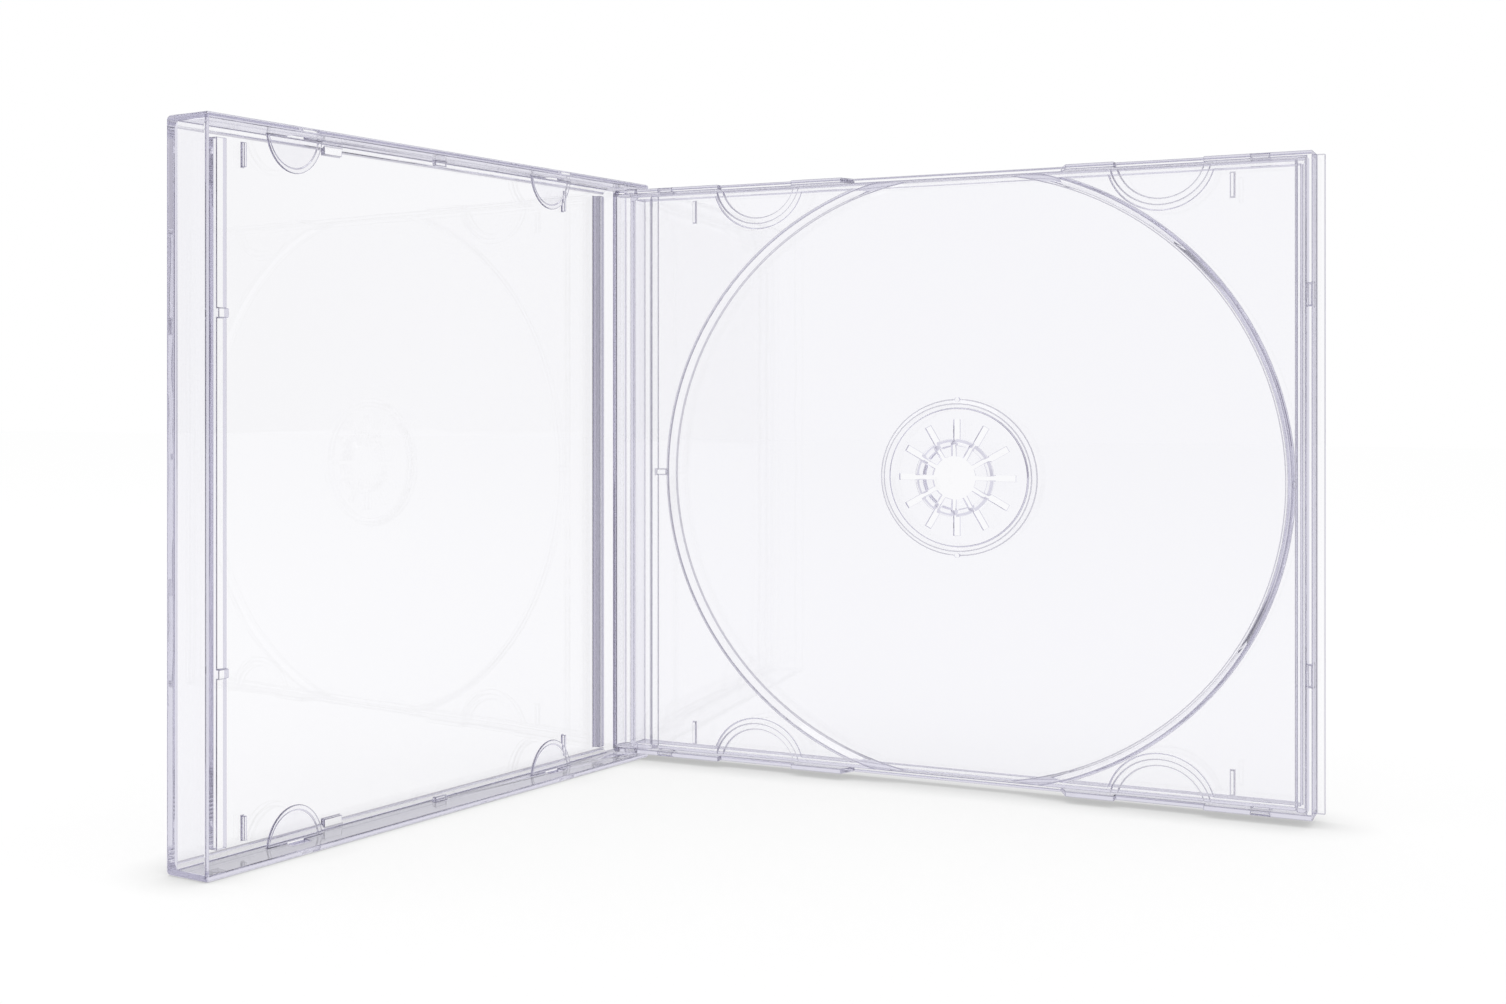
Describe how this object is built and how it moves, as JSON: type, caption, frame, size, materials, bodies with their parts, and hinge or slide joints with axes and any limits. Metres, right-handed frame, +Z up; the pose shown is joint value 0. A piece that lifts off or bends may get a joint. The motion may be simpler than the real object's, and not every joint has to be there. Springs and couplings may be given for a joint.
{
  "type": "disc jewel case",
  "caption": "Clear jewel case for one disc, standing open on its long edge: hinged lid with booklet tabs, back cover with spines, and a snap-in tray with a toothed hub.",
  "frame": {"origin": "where the hinge line meets the floor, on the lower ear of the lid", "axes": "+Z up along the hinge line; +X along the base away from the hinge; -Y out of the front of the base"},
  "size_m": [0.1588, 0.1421, 0.124],
  "materials": {
    "clear_lid": "clear polished polystyrene",
    "clear_base": "clear polished polystyrene",
    "clear_tray": "clear polished polystyrene"
  },
  "bodies": {
    "back": {"base": "clear_base", "tray": "clear_tray"},
    "cover": {"lid": "clear_lid"}
  },
  "joints": [
    {"name": "lid_hinge", "type": "hinge", "parent": "back", "child": "cover", "pos_m": [0, 0, 0.062], "axis": [0, 0, 1], "range_deg": [-83.4, 96.6]}
  ]
}
